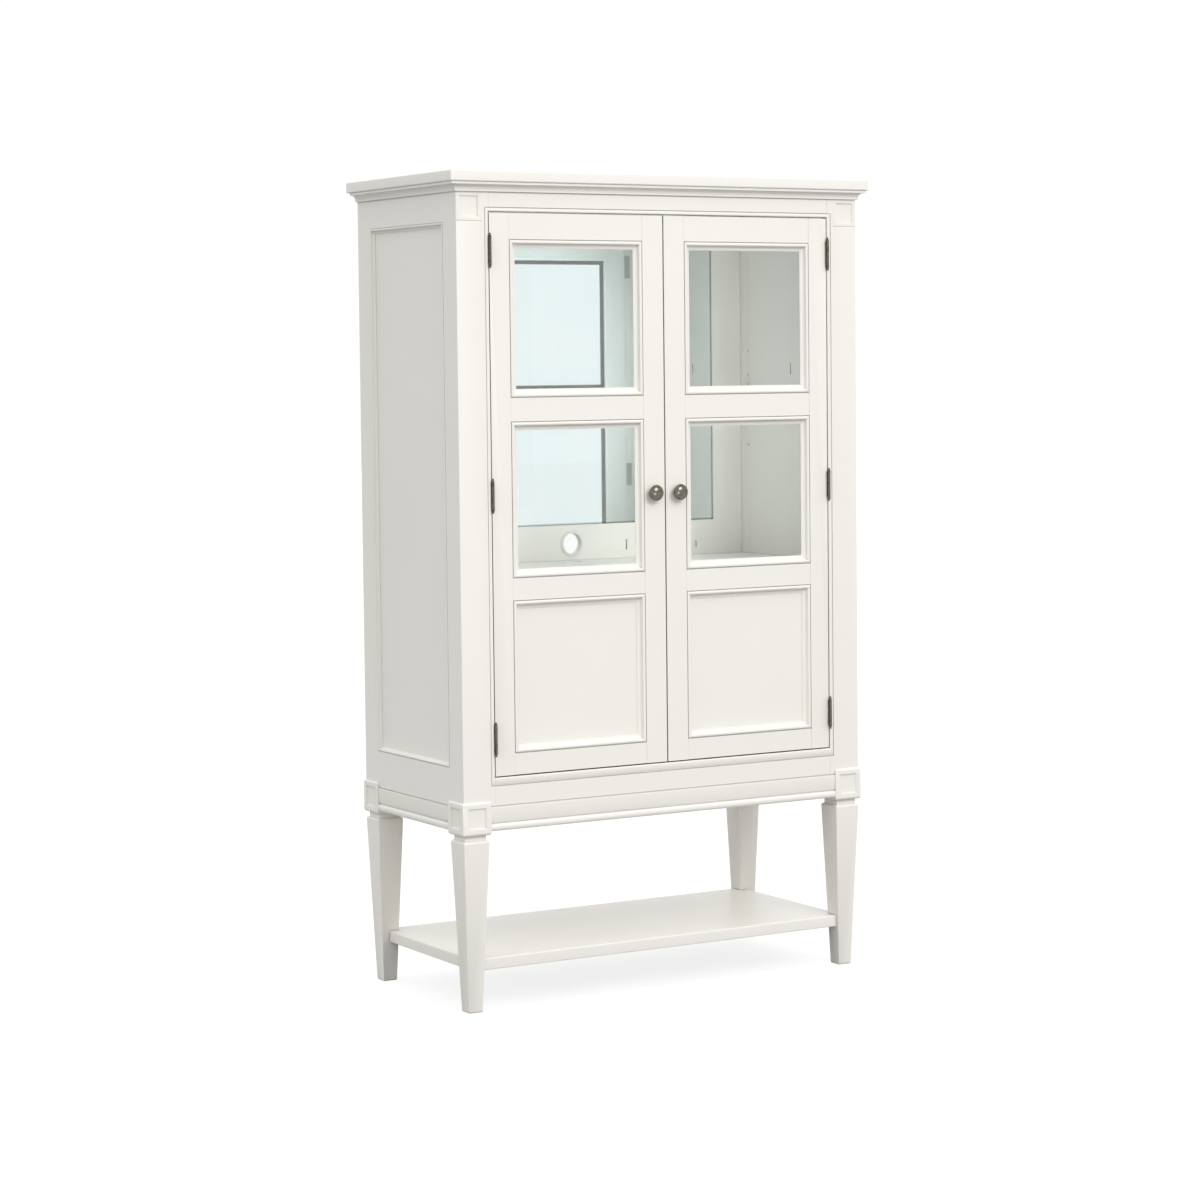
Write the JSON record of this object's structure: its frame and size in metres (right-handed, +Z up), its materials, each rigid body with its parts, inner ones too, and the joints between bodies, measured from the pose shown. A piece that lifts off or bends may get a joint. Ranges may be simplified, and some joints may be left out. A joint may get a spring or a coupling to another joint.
{
  "type": "apothecary cabinet",
  "caption": "Tall painted display cabinet on tapered legs, with a pair of panelled glass doors, mirrored back, fixed inner shelf and an open low shelf between the legs.",
  "frame": {"origin": "on the floor, under the middle of the whole footprint (the top board's outline)", "axes": "+X to the right of someone facing the doors, +Y to the back, +Z up"},
  "size_m": [1.058, 0.5, 1.778],
  "materials": {
    "painted_wood": "warm white satin paint",
    "back_board": "painted thin board",
    "dark_bronze": "antique bronze",
    "steel": "plain",
    "pale_plastic": "matte",
    "pane_glass": "clear float glass",
    "mirror": "silvered plate"
  },
  "bodies": {
    "case": {"apron_front": "painted_wood", "apron_sides": "painted_wood", "back_panel": "back_board", "back_rails": "painted_wood", "cabinet_floor": "painted_wood", "cable_grommet": "pale_plastic", "cornice_front": "painted_wood", "cornice_sides": "painted_wood", "door_catches": "pale_plastic", "fixed_shelf": "painted_wood", "frame_bottom_rail": "painted_wood", "frame_stiles": "painted_wood", "frame_top_rail": "painted_wood", "hinge_frame_leaves": "dark_bronze", "hinge_pins": "dark_bronze", "inner_top": "painted_wood", "leg_front_left": "painted_wood", "leg_front_right": "painted_wood", "leg_rear_left": "painted_wood", "leg_rear_right": "painted_wood", "low_shelf": "painted_wood", "mirror_board": "painted_wood", "mirror_glass": "mirror", "opening_bead": "painted_wood", "post_front_left": "painted_wood", "post_front_right": "painted_wood", "post_rear_left": "painted_wood", "post_rear_right": "painted_wood", "side_mouldings": "painted_wood", "side_panel_left": "painted_wood", "side_panel_right": "painted_wood", "side_rails_left": "painted_wood", "side_rails_right": "painted_wood", "top_board": "painted_wood"},
    "left_door": {"left_door_bottom_rail": "painted_wood", "left_door_glass": "pane_glass", "left_door_hinge_leaves": "dark_bronze", "left_door_hinge_stile": "painted_wood", "left_door_knob": "dark_bronze", "left_door_lower_rail": "painted_wood", "left_door_meeting_stile": "painted_wood", "left_door_mouldings": "painted_wood", "left_door_panel": "painted_wood", "left_door_stops": "painted_wood", "left_door_strike": "steel", "left_door_top_rail": "painted_wood", "left_door_upper_rail": "painted_wood"},
    "right_door": {"right_door_bottom_rail": "painted_wood", "right_door_glass": "pane_glass", "right_door_hinge_leaves": "dark_bronze", "right_door_hinge_stile": "painted_wood", "right_door_knob": "dark_bronze", "right_door_lower_rail": "painted_wood", "right_door_meeting_stile": "painted_wood", "right_door_mouldings": "painted_wood", "right_door_panel": "painted_wood", "right_door_stops": "painted_wood", "right_door_strike": "steel", "right_door_top_rail": "painted_wood", "right_door_upper_rail": "painted_wood"}
  },
  "joints": [
    {"name": "left_door_hinge", "type": "hinge", "parent": "case", "child": "left_door", "pos_m": [-0.429, -0.2317, 1.097], "axis": [0, 0, -1], "range_deg": [0, 175]},
    {"name": "right_door_hinge", "type": "hinge", "parent": "case", "child": "right_door", "pos_m": [0.429, -0.2317, 1.097], "axis": [0, 0, 1], "range_deg": [0, 175]}
  ]
}
